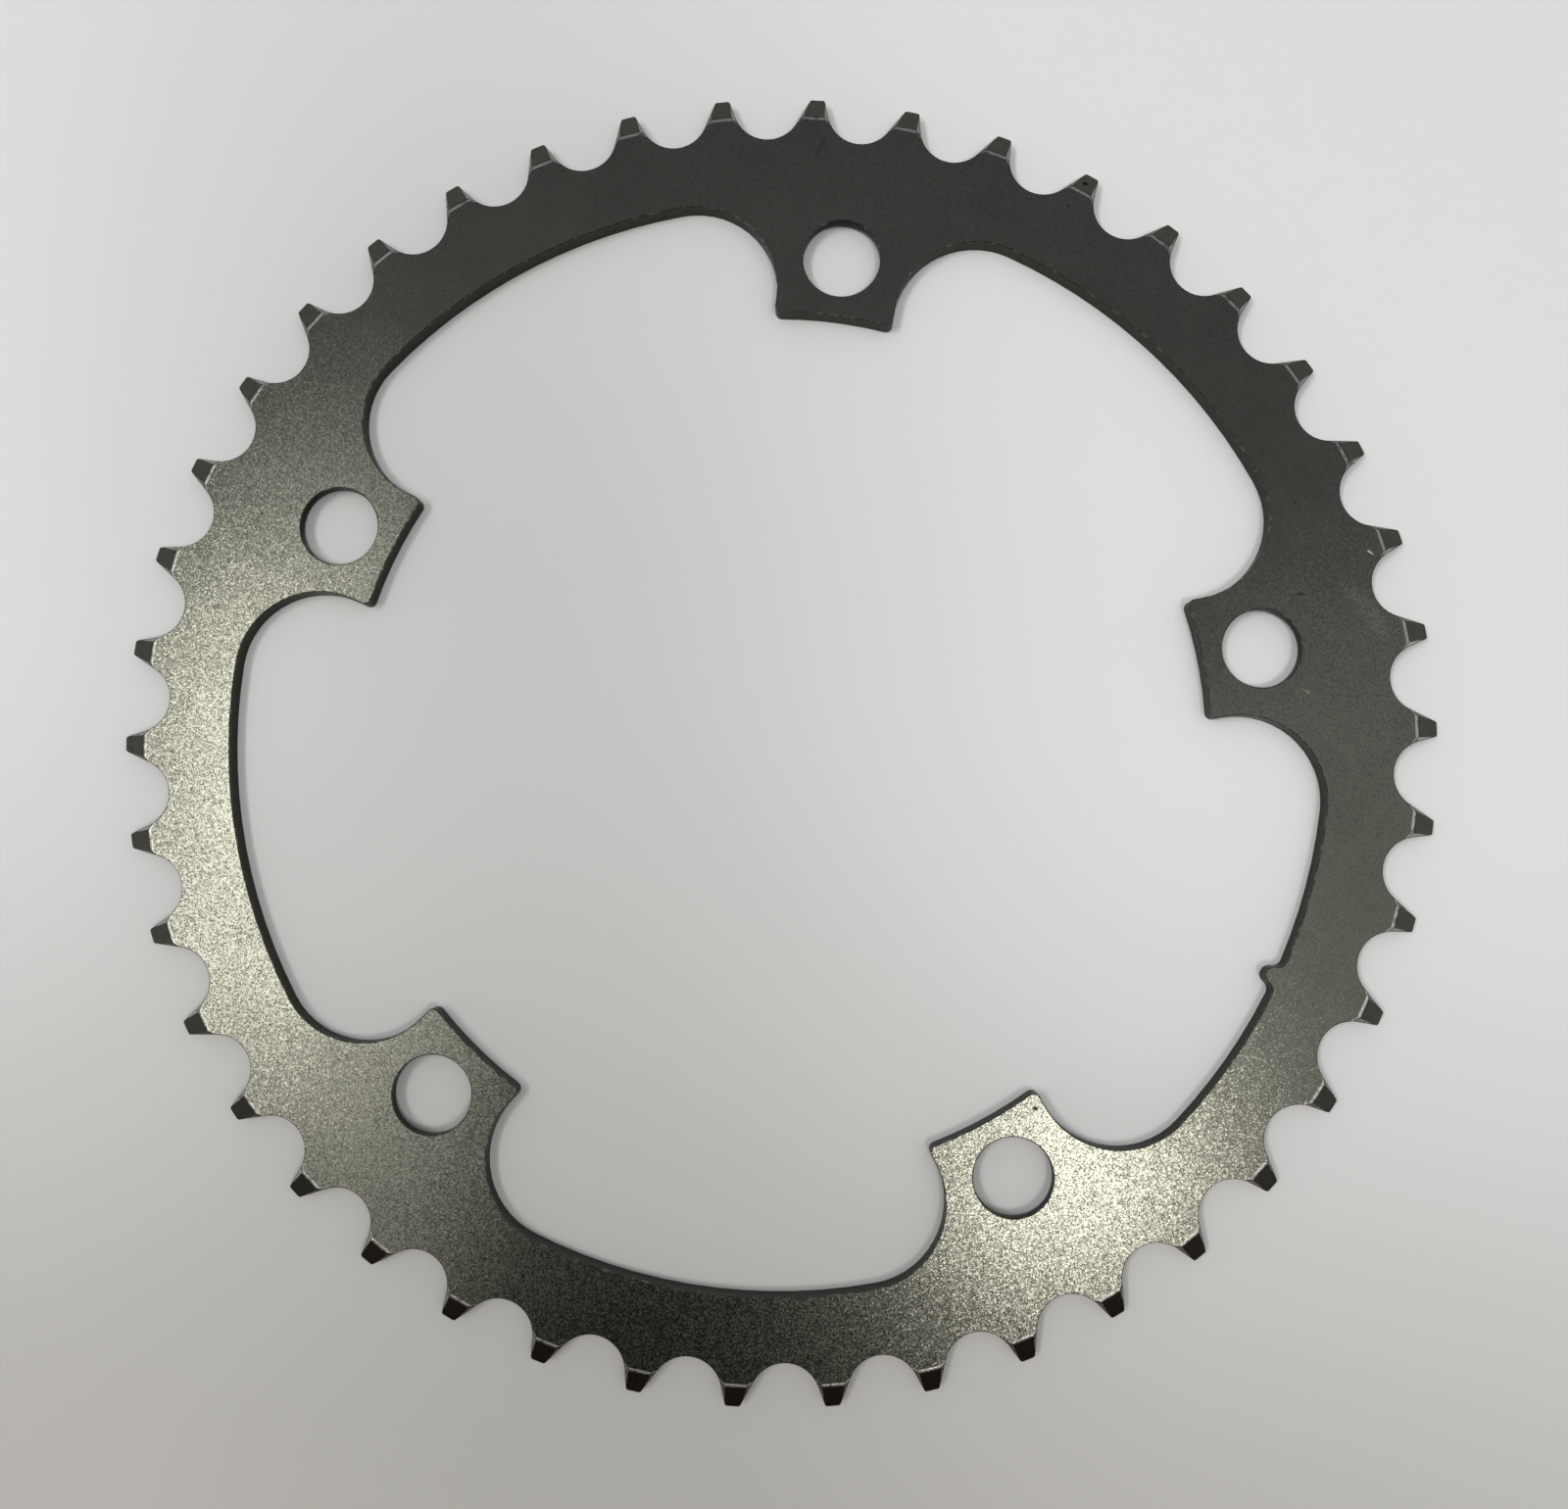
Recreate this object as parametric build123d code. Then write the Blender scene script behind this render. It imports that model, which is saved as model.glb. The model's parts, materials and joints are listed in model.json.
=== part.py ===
from build123d import *
import os
from math import atan, cos, degrees, pi, radians, sin

# A bicycle chainring: one flat plate with chain teeth round the outside and bolt tabs round the inside.
# Origin on the ring's axis at its rear face, +Z out of the plain front face, +Y through one bolt hole.
# Lengths are in millimetres and angles in degrees.

# Chain that runs on the ring
chain_pitch = 12.7
roller_diameter = 7.75

# Teeth, seen from the front: each leans clockwise, so its two flanks differ
# The widest tip corner is a share of the tip's width, which keeps the tip's two corners apart
tooth_count = 42
seat_clearance = 0.15
roller_play = 0.725
lead_flank_angle = 18.0
trail_flank_angle = 29.0
tooth_addendum = 1.89
tip_corner_radius = 0.35
widest_tip_corner = 0.4
tooth_thickness = 2.1

# Coined bevel on the front of each tooth tip, with a fold corner on either side of the tooth's centre line
bevel_length = 2.84
bevel_drop = 0.8
worn_fold_width = 0.34
lead_corner_at_fold = 1.38
lead_corner_at_tip = 1.36
trail_corner_at_fold = 1.45
trail_corner_at_tip = 0.7
corner_fold_angle = 42.0

# Rear of the teeth, turned thinner than the plate
relief_below_root = 2.0
rear_bevel_length = 2.0
rear_bevel_drop = 0.3

# Plate, rim and tabs
# The least tab straight keeps the two fillets on a tab's flank apart
plate_thickness = 3.0
rim_width = 8.3
tab_count = 5
tab_width = 16.0
tab_reach = 7.9
tab_flank_radius = 11.0
least_tab_straight = 0.3
tab_corner_radius = 0.9
edge_break = 0.15

# Bolts: each sleeve nut passes through a tab, and its flange sits in a counterbore at the rear
bolt_circle_diameter = 130.0
sleeve_diameter = 10.0
sleeve_clearance = 0.4
flange_diameter = 12.0
flange_clearance = 0.5
flange_depth = 1.15

# Timing bump on the rim
# Its place counts tabs clockwise from the one on +Y, so a half is midway between two tabs
bump_place = 1.5
bump_radius = 1.2
bump_inset = 0.65
bump_fillet = 1.2

# How near to a circle a point lies that counts as on it
on_circle = 0.002

# Sizes that follow from those above
tooth_angle = 360 / tooth_count
tab_angle = 360 / tab_count
pitch_radius = chain_pitch / 2 / sin(pi / tooth_count)
root_radius = pitch_radius - roller_diameter / 2 - seat_clearance
gullet_radius = roller_diameter / 2 + roller_play
tip_radius = pitch_radius + tooth_addendum
rim_radius = root_radius - rim_width
tab_end_radius = bolt_circle_diameter / 2 - tab_reach
corner_top = ((tab_end_radius + tab_corner_radius) ** 2 - (tab_width / 2 - tab_corner_radius) ** 2) ** 0.5
flank_room = rim_radius**2 - (tab_width / 2) ** 2 - (corner_top + least_tab_straight) ** 2
flank_radius = min(tab_flank_radius, flank_room / (2 * rim_radius + tab_width))
hole_radius = (sleeve_diameter + sleeve_clearance) / 2
counterbore_radius = (flange_diameter + flange_clearance) / 2
fold_radius = tip_radius - bevel_length


def at_radius(shape, radius):
    """Vertices of a flat shape that lie on a circle about the origin."""
    return [v for v in shape.vertices() if abs((v.X**2 + v.Y**2) ** 0.5 - radius) < on_circle]


def gullet():
    """Space between two teeth, on +Y: a round seat with a straight flank running out of each end."""
    centre = Vector(0, root_radius + gullet_radius)
    lead_out = Vector(-sin(radians(lead_flank_angle)), cos(radians(lead_flank_angle)))
    trail_out = Vector(sin(radians(trail_flank_angle)), cos(radians(trail_flank_angle)))
    lead_end = centre - Vector(lead_out.Y, -lead_out.X) * gullet_radius
    trail_end = centre + Vector(trail_out.Y, -trail_out.X) * gullet_radius
    seat = ThreePointArc(lead_end, (0, root_radius), trail_end)
    trail_flank = Line(trail_end, trail_end + trail_out * chain_pitch / 2)
    lead_flank = Line(lead_end + lead_out * chain_pitch / 2, lead_end)
    mouth = Line(trail_flank @ 1, lead_flank @ 0)
    return make_face([seat, trail_flank, mouth, lead_flank])


def toothed_disc():
    """Outline of the teeth: a disc at the tips with a gullet cut at every pitch, one of them on +Y."""
    gullets = [Rot(0, 0, i * tooth_angle) * gullet() for i in range(tooth_count)]
    disc = Circle(tip_radius) - gullets
    tip_width = min(e.length for e in disc.edges().filter_by(GeomType.CIRCLE) if e.radius > root_radius)
    return fillet(at_radius(disc, tip_radius), min(tip_corner_radius, widest_tip_corner * tip_width))


def inner_opening():
    """Outline inside the rim: round, less the tabs, whose ends lie on a smaller circle, and the bump."""
    strip = Pos(0, tip_radius / 2) * Rectangle(tab_width, tip_radius)
    tabs = [Rot(0, 0, i * tab_angle) * strip for i in range(tab_count)]
    opening = Circle(rim_radius) - tabs + Circle(tab_end_radius)
    opening = fillet(at_radius(opening, rim_radius), flank_radius)
    opening = fillet(at_radius(opening, tab_end_radius), tab_corner_radius)
    bump = Rot(0, 0, -bump_place * tab_angle) * Pos(0, rim_radius - bump_inset) * Circle(bump_radius)
    opening -= bump
    roots = opening.vertices().sort_by_distance(bump.center())[:2]
    return fillet(roots, bump_fillet)


def plate():
    """The ring before its teeth are thinned: outline, opening, bolt holes and their counterbores."""
    bolts = PolarLocations(bolt_circle_diameter / 2, tab_count, start_angle=90)
    flat = toothed_disc() - inner_opening() - bolts * Circle(hole_radius)
    ring = extrude(flat, plate_thickness)
    inner_edges = [e for f in ring.faces().filter_by(Axis.Z) for w in f.inner_wires() for e in w.edges()]
    seat = Cylinder(counterbore_radius, flange_depth, align=(Align.CENTER, Align.CENTER, Align.MIN))
    return chamfer(inner_edges, edge_break) - bolts * seat


def rear_relief():
    """Turned cut behind the teeth: a sloped step down from the rim, then a bevel towards the tips."""
    depth = plate_thickness - tooth_thickness
    step_radius = root_radius - relief_below_root
    clear_radius = tip_radius + rear_bevel_length
    section = Polyline(
        (step_radius, 0),
        (step_radius + depth, depth),
        (tip_radius - rear_bevel_length, depth),
        (clear_radius, depth + 2 * rear_bevel_drop),
        (clear_radius, 0),
        close=True,
    )
    return revolve(Plane.XZ * make_face(section), Axis.Z)


def bevel_block(x, y, heading, slope):
    """Block over a tooth on +Y whose underside falls along the heading from a fold through (x, y)."""
    size = chain_pitch / 2
    block = Box(size, size, size, align=(Align.CENTER, Align.MIN, Align.MIN))
    return Pos(x, y, plate_thickness) * Rot(0, 0, heading - 90) * Rot(-degrees(atan(slope)), 0, 0) * block


def corner_slope(at_fold, at_tip, slope):
    """Slope of a side facet that meets the middle facet along a line from its fold corner to the tip."""
    inward = at_fold - at_tip
    along_fall = bevel_length * cos(radians(corner_fold_angle)) - inward * sin(radians(corner_fold_angle))
    return slope * bevel_length / along_fall


def tip_bevels():
    """Blocks for one tooth on +Y: the worn fold, the middle facet and a facet at either side."""
    slope = bevel_drop / bevel_length
    lead_slope = corner_slope(lead_corner_at_fold, lead_corner_at_tip, slope)
    trail_slope = corner_slope(trail_corner_at_fold, trail_corner_at_tip, slope)
    return [
        bevel_block(0, fold_radius - worn_fold_width / 2, 90, slope / 2),
        bevel_block(0, fold_radius, 90, slope),
        bevel_block(lead_corner_at_fold, fold_radius, 90 - corner_fold_angle, lead_slope),
        bevel_block(-trail_corner_at_fold, fold_radius, 90 + corner_fold_angle, trail_slope),
    ]


def chainring():
    """The finished ring, its teeth standing midway between the gullets."""
    teeth = [Rot(0, 0, (i + 0.5) * tooth_angle) for i in range(tooth_count)]
    bevels = [turn * block for turn in teeth for block in tip_bevels()]
    return plate() - rear_relief() - bevels


os.makedirs("parts", exist_ok=True)
export_step(chainring(), "parts/chainring.step")
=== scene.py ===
"""Looks of a bicycle chainring: a blasted dark finish worn along its edges, and the pale table it lies on."""
import json
from math import cos, hypot, pi, radians, sin, tan

import bmesh
import bpy
from bpy.props import FloatProperty, FloatVectorProperty, PointerProperty
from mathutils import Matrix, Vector


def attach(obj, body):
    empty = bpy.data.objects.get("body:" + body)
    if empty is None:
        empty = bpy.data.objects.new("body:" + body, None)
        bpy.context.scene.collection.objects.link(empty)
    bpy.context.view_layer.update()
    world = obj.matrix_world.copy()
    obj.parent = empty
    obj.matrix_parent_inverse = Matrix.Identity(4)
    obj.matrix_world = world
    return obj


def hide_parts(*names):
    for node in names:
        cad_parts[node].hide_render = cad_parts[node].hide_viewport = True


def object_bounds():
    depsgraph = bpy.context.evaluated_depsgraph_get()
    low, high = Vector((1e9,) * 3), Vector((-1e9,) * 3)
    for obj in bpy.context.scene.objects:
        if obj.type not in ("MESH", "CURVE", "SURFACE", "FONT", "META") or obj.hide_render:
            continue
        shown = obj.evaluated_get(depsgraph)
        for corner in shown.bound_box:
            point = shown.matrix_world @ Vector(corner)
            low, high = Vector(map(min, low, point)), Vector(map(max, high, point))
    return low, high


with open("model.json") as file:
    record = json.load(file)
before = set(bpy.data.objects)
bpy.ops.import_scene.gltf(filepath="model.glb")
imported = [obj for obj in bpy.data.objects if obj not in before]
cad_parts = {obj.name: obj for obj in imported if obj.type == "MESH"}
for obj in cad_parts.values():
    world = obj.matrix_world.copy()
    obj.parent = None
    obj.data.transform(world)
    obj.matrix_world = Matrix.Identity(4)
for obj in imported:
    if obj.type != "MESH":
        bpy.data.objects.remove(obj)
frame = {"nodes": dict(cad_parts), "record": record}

bl_info = {
    "name": "Chainring Looks",
    "version": (1, 0, 0),
    "blender": (4, 5, 0),
    "location": "View3D > Sidebar > Chainring",
    "description": "Rounds and finishes a packed chainring, and lays it on a pale table under studio lamps",
    "category": "Object",
}

MM = 0.001
CAD_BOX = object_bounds()
BOLTS = next(m["dims"] for m in frame["record"]["mounts"] if m["name"] == "bolts")

# Upright share of a face's normal, which tells the ring's surfaces apart: walls stand, broken edges lean by
# 45 degrees, and on a tooth tip the corners lean by 26 and 21, the middle facet by 16 and the fold by 8
STANDING = 0.3
BROKEN_EDGE = (0.6, 0.8)
LYING = 0.85
TIP_CORNER = (0.88, 0.945)
TIP_FACET = (0.95, 0.975)
TIP_FOLD = (0.985, 0.995)
LEAST_FOLD = 0.001

# The same share for the strips that round an edge: how far one lies flat to be rubbed, and to be polished
RUBBED_STRIP = 0.97
POLISHED_STRIP = 0.9915

# Where the values of a noise texture mostly lie
NOISE_LOW = 0.3
NOISE_HIGH = 0.7

# Ovals of the table over which shade is painted into its colour, in millimetres and degrees: place, turn,
# half length and half width
# A broad painted shadow over the table within the ring, to the left
PAINTED_SHADOW_OVAL = ((-33.6, 1.7, 0), 16.7, 90.7, 188.5)
# A painted shadow over the table towards the picture's foot
PAINTED_FOOT_SHADOW_OVAL = ((0, -111, 0), 0, 500, 122)

# Lamps and pale cards: direction as azimuth and tilt, width and height as seen from the ring, all in degrees,
# and brightness
LAMPS = (
    ("lamp_left", 187, 23.2, 21.1, 6.3, 21.6),
    ("card_left", 191.1, 19, 36.5, 10, 4.55),
    ("lamp_right", -44.2, 17, 9.9, 9.2, 32.8),
    ("card_right", -2, 26, 30, 30, 1),
)

# Camera: place and lens in millimetres, turn in degrees
CAMERA_PLACE = (6.968, -13.828, 202.833)
CAMERA_TURN = (3.498, 1.138, 7.790)
CAMERA_LENS = 34.875
CAMERA_SENSOR = 36
CAMERA_NEAREST = 10


def linear(code):
    """Linear colour of an sRGB hex code."""
    parts = [int(code[i : i + 2], 16) / 255 for i in (1, 3, 5)]
    return tuple(c / 12.92 if c <= 0.04045 else ((c + 0.055) / 1.055) ** 2.4 for c in parts)


def colour(name, description, code):
    """A colour setting whose default is an sRGB hex code."""
    return FloatVectorProperty(
        name=name, description=description, default=linear(code), subtype="COLOR", size=3, min=0, max=1
    )


def length(name, description, millimetres):
    """A length setting, given in millimetres and kept in metres."""
    return FloatProperty(
        name=name, description=description, default=millimetres * MM, min=0, precision=5, unit="LENGTH"
    )


class RingLooks(bpy.types.PropertyGroup):
    """Sizes and colours of the ring's finish."""

    edge_round: length("Edge rounding", "How far tumbling has rounded the edges of the teeth", 0.11)
    grit: length("Grit", "Width of the dimples left by blasting", 0.16)
    finish: colour("Finish", "Colour of the anodised faces", "#40413B")
    coined: colour("Tooth tips", "Colour of the facets pressed onto the tooth tips", "#5E5B52")
    bare: colour("Bare metal", "Colour where the finish is rubbed off", "#80807A")
    bright: colour("Bright metal", "Colour of the tooth corners, which the chain polishes", "#AFAFA8")
    wall: colour("Cut walls", "Colour of the walls cut through the plate", "#3D3E37")
    # Painted shade: the bolt hole walls get a near black colour, darker than the other cut walls, so that the
    # shade inside the holes is painted into it
    bore: colour("Bolt holes", "Colour of the walls of the bolt holes", "#10100E")


class StageLooks(bpy.types.PropertyGroup):
    """Sizes and colours of the table, the lamps and the room."""

    table: colour("Table", "Colour of the table beyond the ring", "#E2E3E2")
    # Painted shade: the table's colour is multiplied by this tint as a broad painted shadow within the ring,
    # and by the next one as a painted shadow at the picture's foot
    table_painted_shadow: colour("Table, dimmed", "Tint of the table within the ring, to the left", "#E0E1DF")
    table_painted_foot_shadow: colour("Table, near", "Tint of the table at the foot of the picture", "#C9C6C1")
    table_radius: length("Table radius", "Radius at which the table turns up into the backdrop", 900)
    backdrop_height: length("Backdrop height", "Height of the backdrop round the table", 700)
    lamp_distance: length("Lamp distance", "Distance of the lamps and cards from the ring", 1500)
    lamp: colour("Lamps", "Colour of the lamps and cards", "#FFFAF7")
    room: colour("Room", "Colour of the walls of the room, which the ring mirrors", "#EAF0F5")
    room_dark: colour("Room, dark side", "Colour of the room behind the foot of the picture", "#352715")


def add(tree, kind, sockets, **settings):
    """Add a node with its settings; each socket takes a value, or a link from another node's output."""
    node = tree.nodes.new(kind)
    for name, value in settings.items():
        setattr(node, name, value)
    for name, value in sockets.items():
        if isinstance(value, bpy.types.NodeSocket):
            tree.links.new(value, node.inputs[name])
        else:
            node.inputs[name].default_value = value
    return node


def pick(mode, test):
    """In edit mode, select only the vertices, edges or faces that pass a test."""
    bpy.ops.mesh.select_mode(type=mode)
    bpy.ops.mesh.select_all(action="DESELECT")
    mesh = bpy.context.edit_object.data
    shape = bmesh.from_edit_mesh(mesh)
    for item in {"VERT": shape.verts, "EDGE": shape.edges, "FACE": shape.faces}[mode]:
        if test(item):
            item.select_set(True)
    bmesh.update_edit_mesh(mesh)


# Marks of use on the front, each an oval: place, turn in degrees, half its length and width, and its shade
FACE_MARKS = (
    (39.9, -43.4, 0, 0.45, 0.36, 0.05),
    (29.2, 76.0, 0, 0.2, 0.2, 0.2),
    (63.9, 39.9, 0, 0.18, 0.18, 0.2),
    (-4.9, 79.9, -108, 1.8, 0.5, 0.8),
    (66.0, 27.9, 8, 0.8, 0.16, 0.35),
    (68.2, 15.2, -25, 0.8, 0.14, 2.2),
    (74.4, 34.6, -27, 0.6, 0.16, 6),
    (74.6, 27.2, -46, 6, 1.6, 1.25),
)
TIP_MARKS = ((31.1, 79.5, 0, 0.45, 0.35, 0.08),)


def oval(tree, where, place, turn, half_length, half_width):
    """How deep inside an oval a point lies, from 0 at its rim to 1 at its middle; lengths in millimetres."""
    placed = add(
        tree,
        "ShaderNodeMapping",
        {
            "Vector": where,
            "Location": Vector(place) * MM,
            "Rotation": (0, 0, radians(turn)),
            "Scale": (half_length * MM, half_width * MM, 1),
        },
        vector_type="TEXTURE",
    )
    depth = add(
        tree, "ShaderNodeTexGradient", {"Vector": placed.outputs["Vector"]}, gradient_type="SPHERICAL"
    )
    return depth.outputs["Fac"]


def marked(tree, where, base, marks):
    """The base colour with marks laid over it, each darker or lighter than what it lies on."""
    front = CAD_BOX[1][2] / MM
    for x, y, turn, half_length, half_width, shade in marks:
        depth = oval(tree, where, (x, y, front), turn, half_length, half_width)
        inside = add(tree, "ShaderNodeMapRange", {"Value": depth, "From Max": 0.5})
        laid = add(
            tree,
            "ShaderNodeMix",
            {0: inside.outputs["Result"], 6: base, 7: (shade, shade, shade, 1)},
            data_type="RGBA",
            blend_type="MULTIPLY",
        )
        base = laid.outputs[2]
    return base


def blasted_anodised_aluminium(looks):
    """Aluminium blasted with fine beads, then anodised dark grey."""
    # Each dimple mirrors its own way, so the face glitters where a lamp is mirrored and is plain elsewhere
    material = bpy.data.materials.new("blasted_anodised_aluminium")
    material.use_nodes = True
    tree = material.node_tree
    where = add(tree, "ShaderNodeTexCoord", {}).outputs["Object"]
    smooth, dull = 0.157, 0.355
    most_lean = 0.025
    torn_loss = 0.38
    smudge_width = 7 * MM
    # Real dimples are about 0.1 mm wide, too fine to show, so they are drawn at the grit setting
    dimples = add(tree, "ShaderNodeTexVoronoi", {"Vector": where, "Scale": 1 / looks.grit})
    chance = add(tree, "ShaderNodeSeparateColor", {"Color": dimples.outputs["Color"]})
    lean = add(
        tree,
        "ShaderNodeVectorMath",
        {0: dimples.outputs["Color"], 1: [2 * most_lean] * 3, 2: [-most_lean] * 3},
        operation="MULTIPLY_ADD",
    )
    plain = add(tree, "ShaderNodeNewGeometry", {})
    leant = add(
        tree, "ShaderNodeVectorMath", {0: plain.outputs["Normal"], 1: lean.outputs["Vector"]}, operation="ADD"
    )
    facing = add(tree, "ShaderNodeVectorMath", {0: leant.outputs["Vector"]}, operation="NORMALIZE")
    # A few dimples are torn rather than dented, which leaves them darker and duller than the rest; cubing an
    # even chance makes them few
    torn = add(tree, "ShaderNodeMath", {0: chance.outputs["Blue"], 1: 3}, operation="POWER")
    sheen = add(
        tree, "ShaderNodeMapRange", {"Value": torn.outputs["Value"], "To Min": smooth, "To Max": dull}
    )
    # Handling leaves broad, faint smudges
    smudges = add(tree, "ShaderNodeTexNoise", {"Vector": where, "Scale": 1 / smudge_width, "Detail": 4})
    smudge = add(
        tree,
        "ShaderNodeMapRange",
        {
            "Value": smudges.outputs["Fac"],
            "From Min": NOISE_LOW,
            "From Max": NOISE_HIGH,
            "To Min": 1.04,
            "To Max": 1.16,
        },
    )
    shade = add(
        tree,
        "ShaderNodeMath",
        {0: torn.outputs["Value"], 1: -torn_loss, 2: smudge.outputs["Result"]},
        operation="MULTIPLY_ADD",
    )
    tinted = add(
        tree,
        "ShaderNodeMix",
        {0: 1, 6: (*looks.finish, 1), 7: shade.outputs["Value"]},
        data_type="RGBA",
        blend_type="MULTIPLY",
    )
    shader = tree.nodes["Principled BSDF"]
    shader.inputs["Metallic"].default_value = 1
    tree.links.new(marked(tree, where, tinted.outputs[2], FACE_MARKS), shader.inputs["Base Color"])
    tree.links.new(sheen.outputs["Result"], shader.inputs["Roughness"])
    tree.links.new(facing.outputs["Vector"], shader.inputs["Normal"])
    return material


def coined_anodised_facet(looks):
    """Anodised aluminium pressed smooth by the die that bevels the tooth tips."""
    # The die flattens the metal, so a tip has no glitter, only a faint unevenness
    material = bpy.data.materials.new("coined_anodised_facet")
    material.use_nodes = True
    tree = material.node_tree
    where = add(tree, "ShaderNodeTexCoord", {}).outputs["Object"]
    wave_width = 0.8 * MM
    wave_depth = 0.02 * MM
    waves = add(tree, "ShaderNodeTexNoise", {"Vector": where, "Scale": 1 / wave_width, "Detail": 3})
    shade = add(
        tree,
        "ShaderNodeMapRange",
        {
            "Value": waves.outputs["Fac"],
            "From Min": NOISE_LOW,
            "From Max": NOISE_HIGH,
            "To Min": 0.9,
            "To Max": 1.1,
        },
    )
    tinted = add(
        tree,
        "ShaderNodeMix",
        {0: 1, 6: (*looks.coined, 1), 7: shade.outputs["Result"]},
        data_type="RGBA",
        blend_type="MULTIPLY",
    )
    bump = add(
        tree, "ShaderNodeBump", {"Height": waves.outputs["Fac"], "Strength": 1, "Distance": wave_depth}
    )
    shader = tree.nodes["Principled BSDF"]
    shader.inputs["Metallic"].default_value = 1
    shader.inputs["Roughness"].default_value = 0.24
    tree.links.new(marked(tree, where, tinted.outputs[2], TIP_MARKS), shader.inputs["Base Color"])
    tree.links.new(bump.outputs["Normal"], shader.inputs["Normal"])
    return material


def rubbed_anodised_aluminium(looks, name, bare, share, rolled):
    """Anodised aluminium whose finish is rubbed through over a share of it, and whose fold is rolled over."""
    # Rubbing leaves broken patches of pale bare metal in the dark finish, too rough to mirror a lamp sharply
    material = bpy.data.materials.new(name)
    material.use_nodes = True
    tree = material.node_tree
    where = add(tree, "ShaderNodeTexCoord", {}).outputs["Object"]
    patch_width = 0.9 * MM
    scuff_width = 0.25 * MM
    scuff_depth = 0.03 * MM
    # The larger the share, the lower the noise at which the bare metal starts, and the fainter the finish is
    start = 0.65 - 0.3 * share
    patches = add(tree, "ShaderNodeTexNoise", {"Vector": where, "Scale": 1 / patch_width, "Detail": 3})
    rubbed = add(
        tree,
        "ShaderNodeMapRange",
        {
            "Value": patches.outputs["Fac"],
            "From Min": start,
            "From Max": start + 0.1,
            "To Min": 0.05 + 0.3 * share,
        },
    )
    base = add(
        tree,
        "ShaderNodeMix",
        {0: rubbed.outputs["Result"], 6: (*looks.finish, 1), 7: (*bare, 1)},
        data_type="RGBA",
    )
    scuffs = add(tree, "ShaderNodeTexNoise", {"Vector": where, "Scale": 1 / scuff_width, "Detail": 2})
    # Wear rolls a fold over, so it mirrors more nearly the same part of the room as the front face
    plain = add(tree, "ShaderNodeNewGeometry", {})
    lifted = add(
        tree, "ShaderNodeVectorMath", {0: plain.outputs["Normal"], 1: (0, 0, rolled)}, operation="ADD"
    )
    facing = add(tree, "ShaderNodeVectorMath", {0: lifted.outputs["Vector"]}, operation="NORMALIZE")
    bump = add(
        tree,
        "ShaderNodeBump",
        {
            "Height": scuffs.outputs["Fac"],
            "Strength": 1,
            "Distance": scuff_depth,
            "Normal": facing.outputs["Vector"],
        },
    )
    shader = tree.nodes["Principled BSDF"]
    shader.inputs["Metallic"].default_value = 1
    shader.inputs["Roughness"].default_value = 0.3
    tree.links.new(base.outputs[2], shader.inputs["Base Color"])
    tree.links.new(bump.outputs["Normal"], shader.inputs["Normal"])
    return material


def milled_anodised_wall(name, shade_colour):
    """Anodised aluminium walls left by the cutter that went round the plate's outline or through a hole."""
    # The cutter leaves fine lines through the thickness, and no blasting, so a wall is darker than a face
    material = bpy.data.materials.new(name)
    material.use_nodes = True
    tree = material.node_tree
    where = add(tree, "ShaderNodeTexCoord", {}).outputs["Object"]
    line_spacing = 0.4 * MM
    line_depth = 0.02 * MM
    # Cutter lines run along the thickness, so the pattern is stretched along Z
    along = add(tree, "ShaderNodeMapping", {"Vector": where, "Scale": (1, 1, 0.08)})
    lines = add(
        tree,
        "ShaderNodeTexNoise",
        {"Vector": along.outputs["Vector"], "Scale": 1 / line_spacing, "Detail": 2},
    )
    shade = add(
        tree,
        "ShaderNodeMapRange",
        {
            "Value": lines.outputs["Fac"],
            "From Min": NOISE_LOW,
            "From Max": NOISE_HIGH,
            "To Min": 0.85,
            "To Max": 1.15,
        },
    )
    base = add(
        tree,
        "ShaderNodeMix",
        {0: 1, 6: (*shade_colour, 1), 7: shade.outputs["Result"]},
        data_type="RGBA",
        blend_type="MULTIPLY",
    )
    bump = add(
        tree, "ShaderNodeBump", {"Height": lines.outputs["Fac"], "Strength": 1, "Distance": line_depth}
    )
    shader = tree.nodes["Principled BSDF"]
    shader.inputs["Metallic"].default_value = 1
    shader.inputs["Roughness"].default_value = 0.3
    shader.inputs["Specular Tint"].default_value = (0.6, 0.6, 0.6, 1)
    tree.links.new(base.outputs[2], shader.inputs["Base Color"])
    tree.links.new(bump.outputs["Normal"], shader.inputs["Normal"])
    return material


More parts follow.
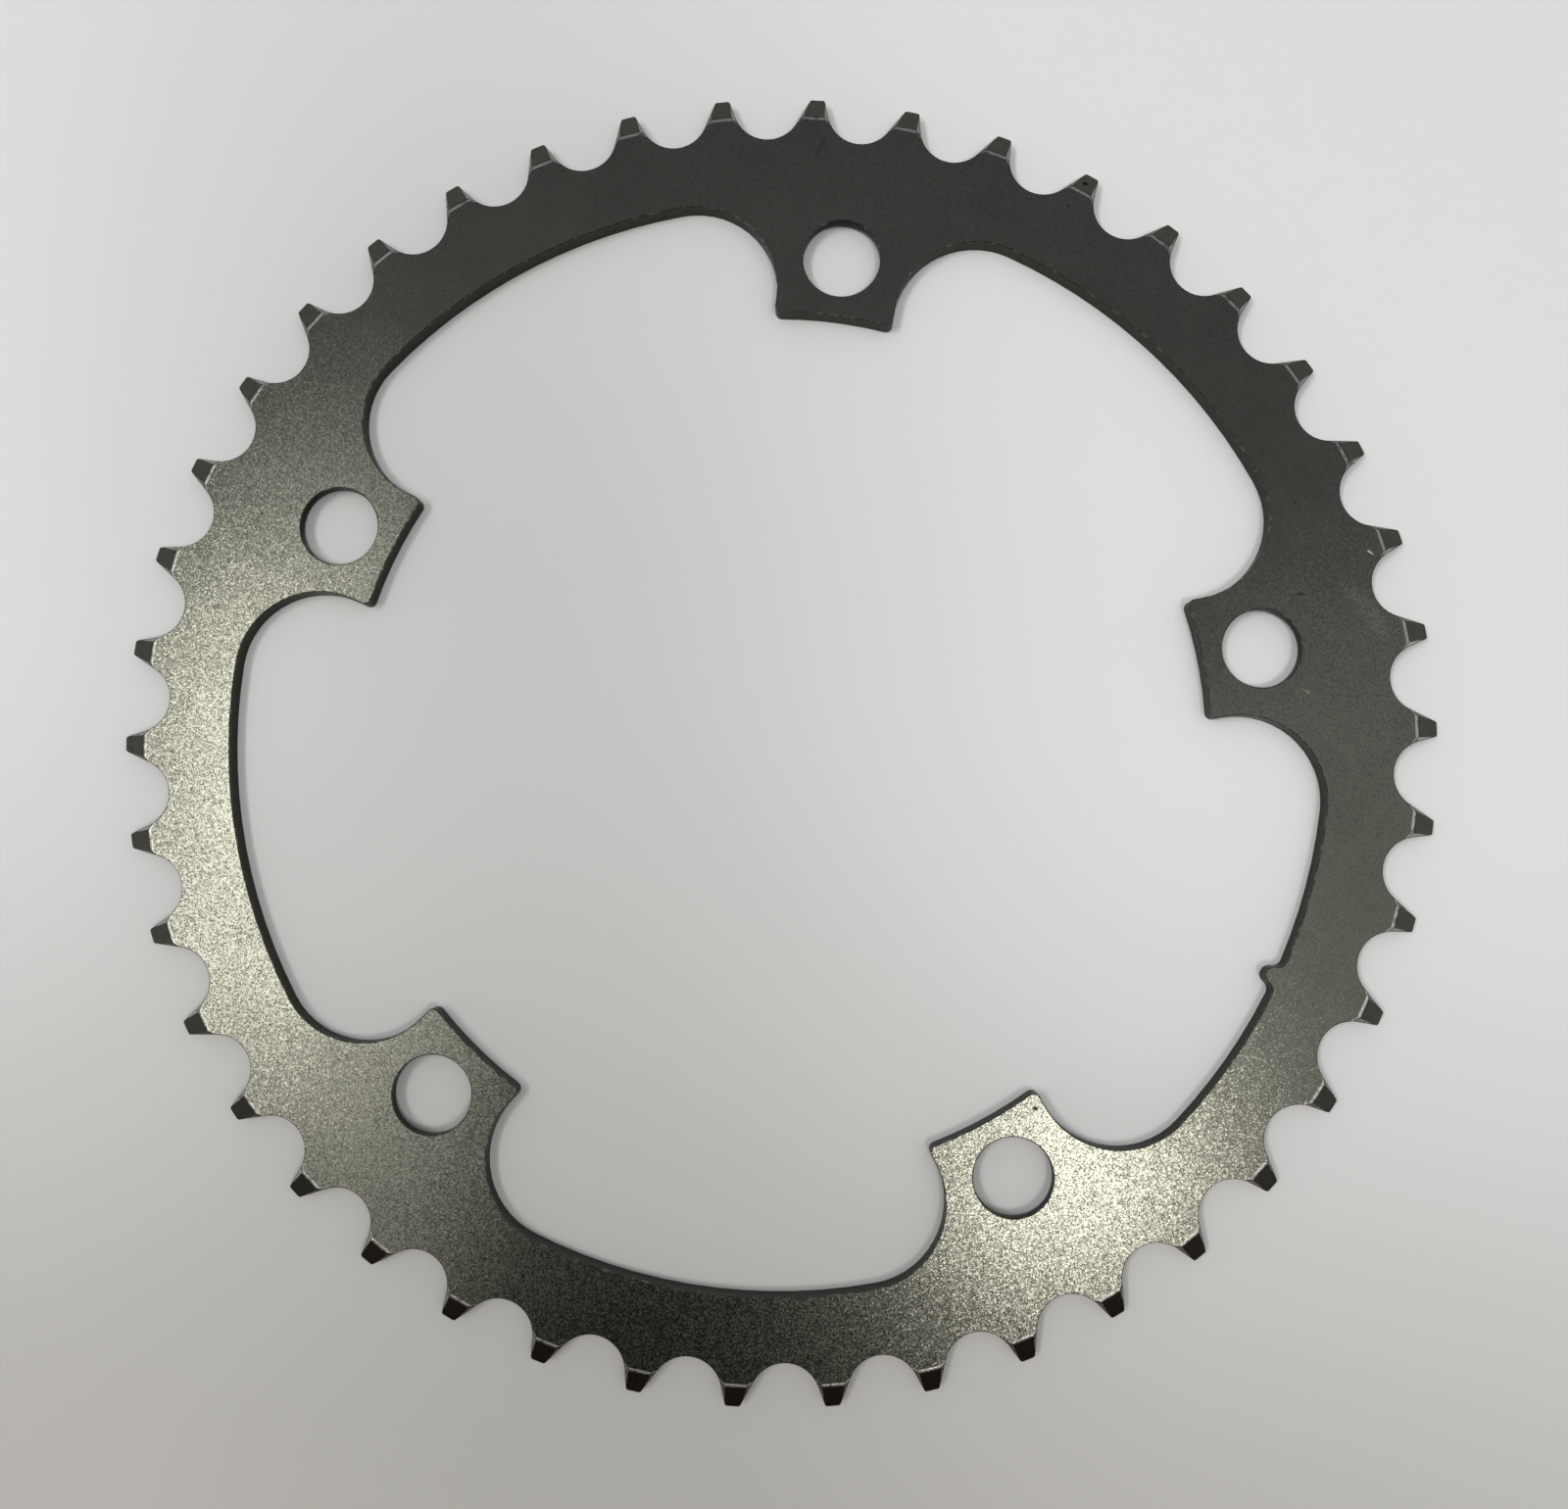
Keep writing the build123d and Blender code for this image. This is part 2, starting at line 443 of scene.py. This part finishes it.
class CHAINRING_OT_ring(bpy.types.Operator):
    """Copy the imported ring, round the edges of its teeth, and give it its finish"""

    bl_idname = "chainring.ring"
    bl_label = "Ring"

    def execute(self, context):
        looks = context.scene.ring_looks
        ring = bpy.data.objects.new("ring", frame["nodes"]["chainring"].data.copy())
        context.scene.collection.objects.link(ring)
        bpy.ops.object.select_all(action="DESELECT")
        ring.select_set(True)
        context.view_layer.objects.active = ring
        ring.data.materials.clear()
        finishes = {
            "face": blasted_anodised_aluminium(looks),
            "facet": coined_anodised_facet(looks),
            "fold": rubbed_anodised_aluminium(looks, "rubbed_tooth_fold", looks.bare, 1, 2.5),
            "edge": rubbed_anodised_aluminium(looks, "rubbed_plate_edge", looks.bare, 0.4, 0),
            "wall": milled_anodised_wall("milled_anodised_wall", looks.wall),
            # The bolt hole walls take the near black colour that paints the shade inside the holes
            "bore": milled_anodised_wall("bored_anodised_wall_painted_shade", looks.bore),
            "side": rubbed_anodised_aluminium(looks, "rubbed_tooth_side", looks.bare, 0.9, 0.6),
            "corner": rubbed_anodised_aluminium(looks, "rubbed_tooth_corner", looks.bright, 1, 0.6),
        }
        for finish in finishes.values():
            ring.data.materials.append(finish)
        slots = {name: place for place, name in enumerate(finishes)}
        bpy.ops.mesh.customdata_custom_splitnormals_clear()
        bpy.ops.object.mode_set(mode="EDIT")
        bpy.ops.mesh.select_all(action="SELECT")
        bpy.ops.mesh.remove_doubles(threshold=0.001 * MM)
        bpy.ops.mesh.dissolve_limited(angle_limit=radians(0.5))
        for name, test in (
            ("facet", lambda f: TIP_FACET[0] < f.normal.z < TIP_FACET[1]),
            ("edge", lambda f: BROKEN_EDGE[0] < abs(f.normal.z) < BROKEN_EDGE[1]),
            ("wall", lambda f: abs(f.normal.z) < STANDING),
            ("bore", lambda f: abs(f.normal.z) < STANDING and in_bolt_hole(f)),
            ("side", lambda f: TIP_FOLD[0] < f.normal.z < TIP_FOLD[1]),
            ("corner", lambda f: TIP_CORNER[0] < f.normal.z < TIP_CORNER[1]),
        ):
            ring.active_material_index = slots[name]
            pick("FACE", test)
            bpy.ops.object.material_slot_assign()
        pick("EDGE", lambda e: is_tooth_edge(e) or is_fold_edge(e))
        bpy.ops.mesh.bevel(
            offset=looks.edge_round,
            segments=3,
            affect="EDGES",
            clamp_overlap=False,
            loop_slide=False,
            material=slots["wall"],
        )
        # A rounded edge is as dark as a wall, but rubbed where it lies nearly flat, and polished along a fold
        rounded = (slots["wall"], slots["side"])
        for name, least in (("side", RUBBED_STRIP), ("fold", POLISHED_STRIP)):
            ring.active_material_index = slots[name]
            pick("FACE", lambda f: f.material_index in rounded and f.normal.z > least)
            bpy.ops.object.material_slot_assign()
        # The bevel lifts the corner where a tip's fold ends, which is pressed back into the front face
        top = CAD_BOX[1][2]
        pick("VERT", lambda v: v.co.z > top)
        bpy.ops.transform.resize(value=(1, 1, 0), center_override=(0, 0, top))
        bpy.ops.mesh.select_mode(type="FACE")
        bpy.ops.mesh.select_all(action="SELECT")
        bpy.ops.mesh.faces_shade_flat()
        pick("FACE", lambda f: abs(f.normal.z) < LYING)
        bpy.ops.mesh.faces_shade_smooth()
        bpy.ops.mesh.select_mode(type="EDGE")
        bpy.ops.mesh.select_all(action="DESELECT")
        bpy.ops.mesh.edges_select_sharp(sharpness=radians(35))
        bpy.ops.mesh.mark_sharp()
        bpy.ops.object.mode_set(mode="OBJECT")
        if {f.material_index for f in ring.data.polygons} != set(range(len(ring.data.materials))):
            raise RuntimeError("A finish found no faces on the ring")
        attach(ring, "root")
        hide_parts("chainring")
        return {"FINISHED"}


def is_tooth_edge(edge):
    """Whether an edge is a sharp outer one between a face or facet and a wall."""
    if len(edge.link_faces) != 2 or not edge.is_convex:
        return False
    low, high = sorted(abs(f.normal.z) for f in edge.link_faces)
    return high > LYING and low < STANDING


def is_fold_edge(edge):
    """Whether an edge is where the front face folds over onto a tooth tip."""
    if len(edge.link_faces) != 2 or not edge.is_convex:
        return False
    low, high = sorted(f.normal.z for f in edge.link_faces)
    return low > LYING and high > TIP_FOLD[0] and high - low > LEAST_FOLD


def in_bolt_hole(face):
    """Whether a wall is in one of the bolt holes or their counterbores, the first of which is on +Y."""
    circle = BOLTS["pcd_mm"] / 2 * MM
    turns = [2 * pi * i / BOLTS["count"] for i in range(BOLTS["count"])]
    place = face.calc_center_median()
    away = min(hypot(place.x + circle * sin(t), place.y - circle * cos(t)) for t in turns)
    # A counterbore is wider than its hole by a fifth
    reach = 1.3
    return away < reach * BOLTS["hole_r_mm"] * MM


class CHAINRING_OT_stage(bpy.types.Operator):
    """Make the table with its backdrop, the lamps, the room and the camera"""

    bl_idname = "chainring.stage"
    bl_label = "Stage"

    def execute(self, context):
        looks = context.scene.stage_looks
        bpy.ops.object.select_all(action="DESELECT")
        bpy.ops.mesh.primitive_circle_add(vertices=128, radius=looks.table_radius, fill_type="NGON")
        table = context.object
        table.name = "table"
        bpy.ops.object.mode_set(mode="EDIT")
        # The table turns up into the backdrop through a cove of six steps
        steps = 6
        for step in range(steps):
            turn = radians(90 * (step + 0.5) / steps)
            rise = looks.backdrop_height * sin(turn) * pi / 2 / steps
            run = looks.backdrop_height * cos(turn) * pi / 2 / steps
            pick("EDGE", lambda e: e.is_boundary)
            radius = max(hypot(v.co.x, v.co.y) for v in bmesh.from_edit_mesh(table.data).verts)
            bpy.ops.mesh.extrude_edges_move(TRANSFORM_OT_translate={"value": (0, 0, rise)})
            grow = 1 + run / radius
            bpy.ops.transform.resize(value=(grow, grow, 1), center_override=(0, 0, 0))
        bpy.ops.object.mode_set(mode="OBJECT")
        bpy.ops.object.shade_smooth_by_angle(angle=radians(40))
        if table.dimensions.z < 0.9 * looks.backdrop_height:
            raise RuntimeError("The backdrop did not rise to its height")
        table.data.materials.append(matt_board(looks))
        for settings in LAMPS:
            lamp(looks, *settings)
        room(context.scene, looks)
        view = bpy.data.cameras.new("camera")
        camera = bpy.data.objects.new("camera", view)
        context.scene.collection.objects.link(camera)
        view.lens = CAMERA_LENS
        view.sensor_width = CAMERA_SENSOR
        view.clip_start = CAMERA_NEAREST * MM
        camera.location = Vector(CAMERA_PLACE) * MM
        camera.rotation_euler = [radians(turn) for turn in CAMERA_TURN]
        context.scene.camera = camera
        context.scene.view_settings.view_transform = "Standard"
        return {"FINISHED"}


def matt_board(looks):
    """White laminated board with a matt face."""
    # Without gloss and even in itself, with shade painted into its colour: a broad painted shadow makes it
    # dimmer within the ring, and a painted shadow makes it duller and warmer towards the picture's foot
    material = bpy.data.materials.new("matt_white_board")
    material.use_nodes = True
    tree = material.node_tree
    where = add(tree, "ShaderNodeTexCoord", {}).outputs["Object"]
    # How far into the painted shadow within the ring a point lies
    within = add(
        tree,
        "ShaderNodeMapRange",
        {"Value": oval(tree, where, *PAINTED_SHADOW_OVAL)},
        interpolation_type="SMOOTHSTEP",
    )
    # How far into the painted shadow at the picture's foot a point lies
    near = add(
        tree,
        "ShaderNodeMapRange",
        {"Value": oval(tree, where, *PAINTED_FOOT_SHADOW_OVAL)},
        interpolation_type="SMOOTHSTEP",
    )
    dimmed = add(
        tree,
        "ShaderNodeMix",
        {0: within.outputs["Result"], 6: (*looks.table, 1), 7: (*looks.table_painted_shadow, 1)},
        data_type="RGBA",
        blend_type="MULTIPLY",
    )
    base = add(
        tree,
        "ShaderNodeMix",
        {0: near.outputs["Result"], 6: dimmed.outputs[2], 7: (*looks.table_painted_foot_shadow, 1)},
        data_type="RGBA",
        blend_type="MULTIPLY",
    )
    shader = tree.nodes["Principled BSDF"]
    shader.inputs["Roughness"].default_value = 0.7
    shader.inputs["Specular IOR Level"].default_value = 0.2
    tree.links.new(base.outputs[2], shader.inputs["Base Color"])
    return material


def lamp(looks, name, azimuth, tilt, along, across, radiance):
    """A lamp or card facing the ring, with its direction and its size as seen from there in degrees."""
    light = bpy.data.lights.new(name, "AREA")
    light.shape = "ELLIPSE"
    light.size = 2 * looks.lamp_distance * tan(radians(along / 2))
    light.size_y = 2 * looks.lamp_distance * tan(radians(across / 2))
    light.color = looks.lamp
    light.energy = radiance * pi * pi * light.size * light.size_y / 4
    holder = bpy.data.objects.new(name, light)
    bpy.context.scene.collection.objects.link(holder)
    reach = sin(radians(tilt))
    direction = Vector((reach * cos(radians(azimuth)), reach * sin(radians(azimuth)), cos(radians(tilt))))
    holder.location = direction * looks.lamp_distance
    holder.rotation_euler = direction.to_track_quat("Z", "Y").to_euler()


def room(scene, looks):
    """The room that lights the table: brightest overhead, dim low down, dark behind the picture's foot."""
    world = bpy.data.worlds.new("room")
    scene.world = world
    world.use_nodes = True
    tree = world.node_tree
    direction = add(tree, "ShaderNodeTexCoord", {}).outputs["Generated"]
    part = add(tree, "ShaderNodeSeparateXYZ", {"Vector": direction})
    level = add(tree, "ShaderNodeVectorMath", {0: direction, 1: (1, 1, 0)}, operation="MULTIPLY")
    heading = add(tree, "ShaderNodeVectorMath", {0: level.outputs["Vector"]}, operation="NORMALIZE")
    dark_heading = (0.087, -0.996, 0)
    turned = add(
        tree,
        "ShaderNodeVectorMath",
        {0: heading.outputs["Vector"], 1: dark_heading},
        operation="DOT_PRODUCT",
    )
    # Away from the dark side by its heading, or by standing almost overhead
    aside = add(
        tree,
        "ShaderNodeMapRange",
        {"Value": turned.outputs["Value"], "From Min": 0.85, "From Max": 0.15},
        interpolation_type="SMOOTHSTEP",
    )
    overhead = add(
        tree,
        "ShaderNodeMapRange",
        {"Value": part.outputs["Y"], "From Min": -0.065, "From Max": 0.086},
        interpolation_type="SMOOTHSTEP",
    )
    pale = add(
        tree,
        "ShaderNodeMath",
        {0: aside.outputs["Result"], 1: overhead.outputs["Result"]},
        operation="MAXIMUM",
    )
    side = add(
        tree,
        "ShaderNodeMix",
        {0: pale.outputs["Value"], 6: (*looks.room_dark, 1), 7: (*looks.room, 1)},
        data_type="RGBA",
    )
    ceiling = add(
        tree,
        "ShaderNodeMapRange",
        {"Value": part.outputs["Z"], "From Min": 0.82, "From Max": 0.91, "To Min": 0.56, "To Max": 0.91},
        interpolation_type="SMOOTHSTEP",
    )
    # Little light comes from lower down, so the lamps throw clear shadows
    upper_walls = add(
        tree,
        "ShaderNodeMapRange",
        {"Value": part.outputs["Z"], "From Min": 0.38, "From Max": 0.52, "To Min": 0.18, "To Max": 1},
        interpolation_type="SMOOTHSTEP",
    )
    strength = add(
        tree,
        "ShaderNodeMath",
        {0: ceiling.outputs["Result"], 1: upper_walls.outputs["Result"]},
        operation="MULTIPLY",
    )
    back = tree.nodes["Background"]
    tree.links.new(side.outputs[2], back.inputs["Color"])
    tree.links.new(strength.outputs["Value"], back.inputs["Strength"])


class CHAINRING_PT_looks(bpy.types.Panel):
    """Lists the steps and their settings"""

    bl_idname = "CHAINRING_PT_looks"
    bl_label = "Chainring"
    bl_space_type = "VIEW_3D"
    bl_region_type = "UI"
    bl_category = "Chainring"

    def draw(self, context):
        for looks, step in (
            (context.scene.ring_looks, CHAINRING_OT_ring),
            (context.scene.stage_looks, CHAINRING_OT_stage),
        ):
            self.layout.operator(step.bl_idname)
            for name in looks.__annotations__:
                self.layout.prop(looks, name)


CLASSES = (RingLooks, StageLooks, CHAINRING_OT_ring, CHAINRING_OT_stage, CHAINRING_PT_looks)


def register():
    """Register the classes and the scene's settings."""
    for item in CLASSES:
        bpy.utils.register_class(item)
    bpy.types.Scene.ring_looks = PointerProperty(type=RingLooks)
    bpy.types.Scene.stage_looks = PointerProperty(type=StageLooks)


def unregister():
    """Remove the scene's settings and the classes."""
    del bpy.types.Scene.stage_looks
    del bpy.types.Scene.ring_looks
    for item in reversed(CLASSES):
        bpy.utils.unregister_class(item)


def main():
    register()
    bpy.ops.chainring.ring()
    bpy.ops.chainring.stage()


if __name__ == "__main__":
    main()
